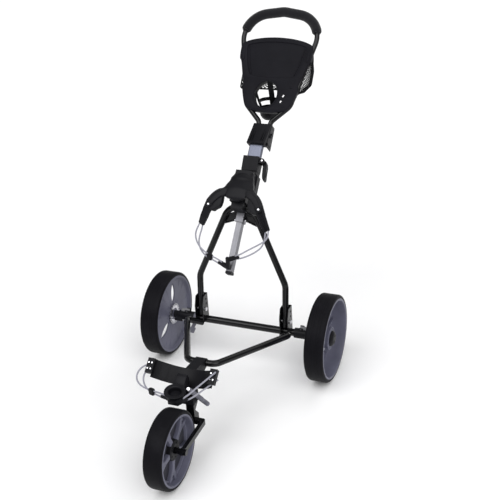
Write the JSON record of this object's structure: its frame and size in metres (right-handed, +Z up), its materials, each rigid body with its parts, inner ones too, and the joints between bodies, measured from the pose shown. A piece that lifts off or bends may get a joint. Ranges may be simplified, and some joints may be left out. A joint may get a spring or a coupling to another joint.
{
  "type": "golf bag push cart",
  "caption": "Three-wheel folding push cart for a golf bag, with a sliding column, two bag cradles, a foam-gripped handle loop and a console with a cup holder and net.",
  "frame": {"origin": "on the floor, under the middle of the cart's box", "axes": "+X across the cart to its left when seen from the front, -Y towards the front wheel, +Y towards the handle, +Z up"},
  "size_m": [0.642, 1.2904, 1.0921],
  "materials": {
    "tyre": "matt",
    "grey_plastic": "satin",
    "black_plastic": "satin",
    "black_paint": "gloss",
    "silver_metal": "satin",
    "zinc_steel": "bright",
    "foam": "matt foam",
    "elastic": "woven",
    "net": "open mesh",
    "nylon": "satin"
  },
  "bodies": {
    "chassis": {"axle_tube": "black_paint", "axle_housing_left": "black_plastic", "axle_housing_right": "black_plastic", "stub_axles": "zinc_steel", "hinge_bracket_left": "black_paint", "hinge_bracket_right": "black_paint", "hinge_bolts": "zinc_steel", "front_tube": "black_paint"},
    "rear_wheel_left": {"rear_tyre_left": "tyre", "rear_rim_left": "grey_plastic", "brake_ring_left": "zinc_steel", "hub_cap_left": "black_plastic", "wheel_bushes_left": "nylon"},
    "rear_wheel_right": {"rear_tyre_right": "tyre", "rear_rim_right": "grey_plastic", "brake_ring_right": "zinc_steel", "hub_cap_right": "black_plastic", "wheel_bushes_right": "nylon"},
    "release_left": {"wheel_release_left": "nylon"},
    "release_right": {"wheel_release_right": "nylon"},
    "pedal": {"brake_pedal": "grey_plastic"},
    "pin": {"brake_pin": "zinc_steel"},
    "front_assembly": {"front_head": "black_plastic", "lower_cradle": "black_plastic", "cradle_clips": "black_plastic", "clip_rivets": "zinc_steel", "bag_rest": "black_plastic", "front_fork": "black_paint", "front_axle": "zinc_steel", "front_lever_pin": "zinc_steel", "lower_cord_left": "elastic", "lower_cord_right": "elastic", "lower_hooks": "black_plastic"},
    "front_lever": {"front_release_lever": "grey_plastic"},
    "front_wheel": {"front_tyre": "tyre", "front_rim": "grey_plastic", "front_bushes": "nylon"},
    "mast": {"wishbone": "black_paint", "cross_brace": "black_paint", "brace_bolts": "zinc_steel", "column_sleeve": "silver_metal", "bag_bracket": "black_plastic", "bag_arm_left": "black_plastic", "bag_arm_right": "black_plastic", "clamp_block": "black_plastic", "cam_pin": "zinc_steel", "upper_cord_left": "elastic", "upper_cord_right": "elastic", "upper_hooks": "black_plastic"},
    "cam": {"cam_lever": "black_plastic"},
    "column": {"column_bar": "silver_metal", "column_end_cap": "black_plastic", "upper_tube": "silver_metal", "handle_bracket": "black_plastic", "bracket_bolts": "zinc_steel"},
    "handle": {"handle_tube": "black_paint", "foam_grip": "foam", "console_panel": "black_plastic", "cup_cage": "black_plastic", "mesh_net": "net"}
  },
  "joints": [
    {"name": "left_wheel_spin", "type": "hinge", "parent": "chassis", "child": "rear_wheel_left", "pos_m": [-0.289, 0.10882, 0.145], "axis": [1, 0, 0], "continuous": true},
    {"name": "right_wheel_spin", "type": "hinge", "parent": "chassis", "child": "rear_wheel_right", "pos_m": [0.289, 0.10882, 0.145], "axis": [1, 0, 0], "continuous": true},
    {"name": "left_wheel_release", "type": "hinge", "parent": "chassis", "child": "release_left", "pos_m": [-0.206, 0.10882, 0.167], "axis": [0, 1, 0], "range_deg": [0, 20], "stiffness_Nm_per_rad": 0.03, "springref_deg": -11.46},
    {"name": "right_wheel_release", "type": "hinge", "parent": "chassis", "child": "release_right", "pos_m": [0.206, 0.10882, 0.167], "axis": [0, -1, 0], "range_deg": [0, 20], "stiffness_Nm_per_rad": 0.03, "springref_deg": -11.46},
    {"name": "brake_press", "type": "hinge", "parent": "chassis", "child": "pedal", "pos_m": [-0.175, 0.10882, 0.145], "axis": [1, 0, 0], "range_deg": [0, 25]},
    {"name": "brake_pin_slide", "type": "slide", "parent": "chassis", "child": "pin", "axis": [-1, 0, 0], "range_m": [0, 0.006]},
    {"name": "front_fold", "type": "hinge", "parent": "chassis", "child": "front_assembly", "pos_m": [0, -0.23618, 0.217], "axis": [1, 0, 0], "range_deg": [0, 90]},
    {"name": "front_lever_lift", "type": "hinge", "parent": "front_assembly", "child": "front_lever", "pos_m": [0.027, -0.36383, 0.198], "axis": [0, -0.6428, 0.766], "range_deg": [0, 28], "stiffness_Nm_per_rad": 0.3, "springref_deg": -17.19},
    {"name": "front_wheel_spin", "type": "hinge", "parent": "front_assembly", "child": "front_wheel", "pos_m": [0.024, -0.52918, 0.116], "axis": [1, 0, 0], "continuous": true},
    {"name": "mast_fold", "type": "hinge", "parent": "chassis", "child": "mast", "pos_m": [0, 0.10382, 0.187], "axis": [1, 0, 0], "range_deg": [0, 60]},
    {"name": "cam_open", "type": "hinge", "parent": "mast", "child": "cam", "pos_m": [0.037, 0.26836, 0.67532], "axis": [0, -0.7431, 0.6691], "range_deg": [0, 110]},
    {"name": "column_slide", "type": "slide", "parent": "mast", "child": "column", "axis": [0, 0.6691, 0.7431], "range_m": [-0.045, 0.08]},
    {"name": "handle_angle", "type": "hinge", "parent": "column", "child": "handle", "pos_m": [0, 0.36766, 0.72915], "axis": [1, 0, 0], "range_deg": [-20, 0]}
  ],
  "couplings": [
    {"joint": "brake_pin_slide", "follows": "brake_press", "m_per_rad": 0.0137}
  ]
}
